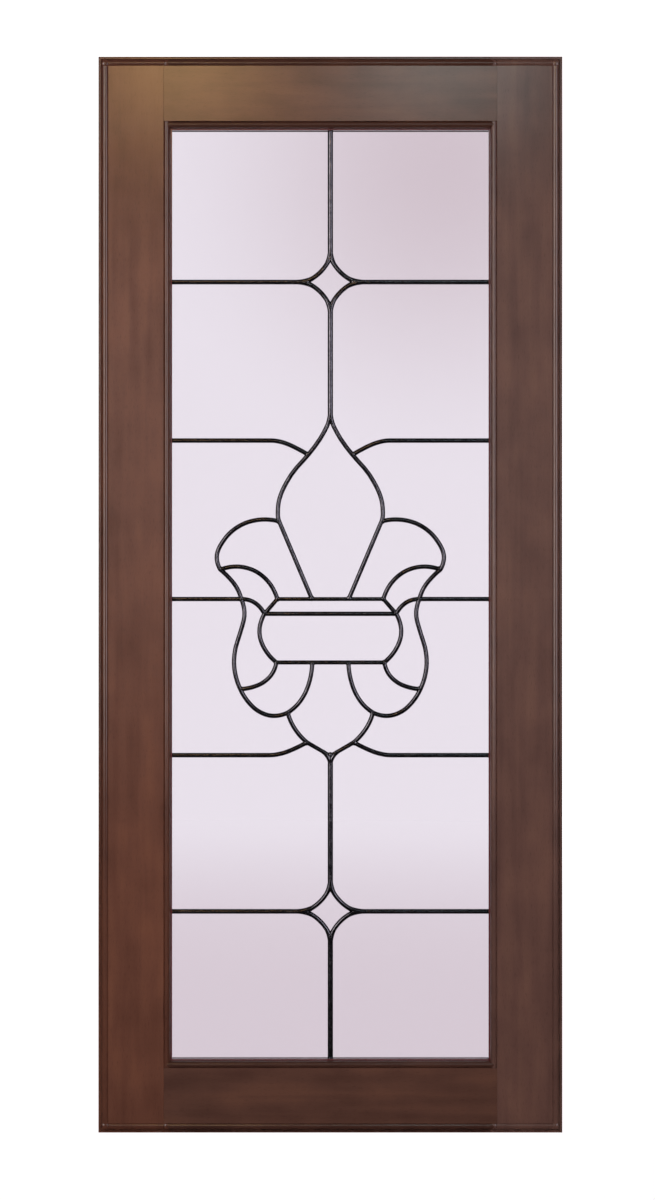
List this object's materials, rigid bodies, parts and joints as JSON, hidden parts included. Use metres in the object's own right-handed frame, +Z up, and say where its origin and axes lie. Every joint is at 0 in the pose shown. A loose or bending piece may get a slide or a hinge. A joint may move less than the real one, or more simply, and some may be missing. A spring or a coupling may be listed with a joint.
{
  "type": "leaded glass cabinet door",
  "caption": "Tall cabinet door with a moulded dark wood frame around a clear leaded-glass panel with a fleur-de-lis and small diamonds.",
  "frame": {"origin": "on the flat back face of the left stile, at mid-height and 22.5 mm in from the door's outer edge, where the middle of the hinge side is held", "axes": "+Z up along the stiles, +X across the door towards the free stile, +Y out of the back; the moulded front faces -Y"},
  "size_m": [0.438, 0.019, 1.016],
  "materials": {
    "stained_wood": "satin lacquer over dark reddish-brown stain",
    "blackened_lead": "black patina, satin",
    "clear_glass": "clear, polished"
  },
  "bodies": {
    "root": {"left_stile": "stained_wood", "right_stile": "stained_wood", "top_rail": "stained_wood", "bottom_rail": "stained_wood", "left_stop": "stained_wood", "right_stop": "stained_wood", "top_stop": "stained_wood", "bottom_stop": "stained_wood", "came_lattice": "blackened_lead", "left_top_pane": "clear_glass", "right_top_pane": "clear_glass", "upper_diamond_pane": "clear_glass", "left_second_pane": "clear_glass", "right_second_pane": "clear_glass", "finial_pane": "clear_glass", "left_third_pane": "clear_glass", "right_third_pane": "clear_glass", "left_petal_pane": "clear_glass", "right_petal_pane": "clear_glass", "left_curl_pane": "clear_glass", "right_curl_pane": "clear_glass", "band_top_pane": "clear_glass", "band_pane": "clear_glass", "left_fourth_pane": "clear_glass", "right_fourth_pane": "clear_glass", "left_skirt_pane": "clear_glass", "right_skirt_pane": "clear_glass", "left_lobe_pane": "clear_glass", "right_lobe_pane": "clear_glass", "shield_pane": "clear_glass", "left_fifth_pane": "clear_glass", "right_fifth_pane": "clear_glass", "lower_diamond_pane": "clear_glass", "left_bottom_pane": "clear_glass", "right_bottom_pane": "clear_glass"}
  },
  "joints": []
}
